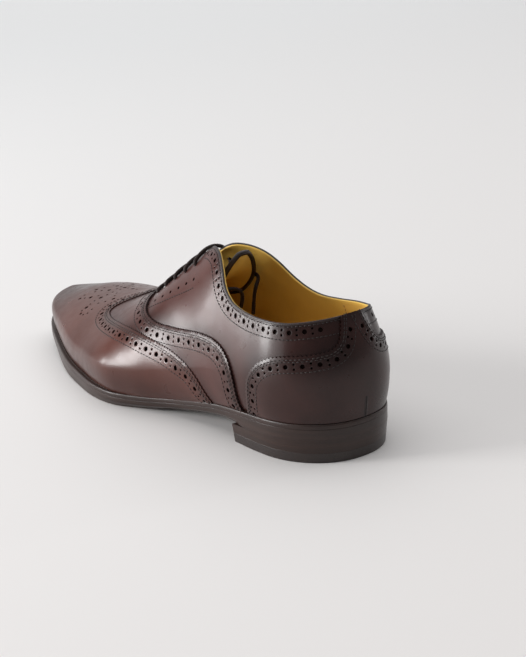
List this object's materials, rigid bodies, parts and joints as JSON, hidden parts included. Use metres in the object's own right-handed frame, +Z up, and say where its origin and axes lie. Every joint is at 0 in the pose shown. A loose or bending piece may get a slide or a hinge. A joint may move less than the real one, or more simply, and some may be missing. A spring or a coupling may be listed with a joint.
{
  "type": "dress shoe",
  "caption": "Left lace-up oxford shoe with a pierced wing cap, counter and facings, welted leather sole and low stacked heel.",
  "frame": {"origin": "on the floor under the middle of the heel, on the flat of the heel top piece", "axes": "+Y from heel to toe, +X to the big toe side, +Z up from the floor"},
  "size_m": [0.1044, 0.298, 0.0949],
  "materials": {
    "upper_leather": "gloss",
    "counter_leather": "gloss",
    "vamp_leather": "gloss",
    "wing_leather": "gloss",
    "tongue_leather": "satin",
    "insole_leather": "satin",
    "welt_leather": "satin",
    "sole_leather": "satin",
    "stack_leather": "satin",
    "heel_rubber": "matte",
    "lace": "matte"
  },
  "bodies": {
    "root": {"upper": "upper_leather", "heel_counter": "counter_leather", "vamp": "vamp_leather", "wing_cap": "wing_leather", "tongue": "tongue_leather", "insole": "insole_leather", "welt": "welt_leather", "outsole": "sole_leather", "heel_stack": "stack_leather", "heel_top_piece": "heel_rubber", "lace_bar_1": "lace", "lace_bar_2": "lace", "lace_bar_3": "lace", "lace_bar_4": "lace", "lace_bar_5": "lace", "lace_end_lateral": "lace", "lace_end_medial": "lace"}
  },
  "joints": []
}
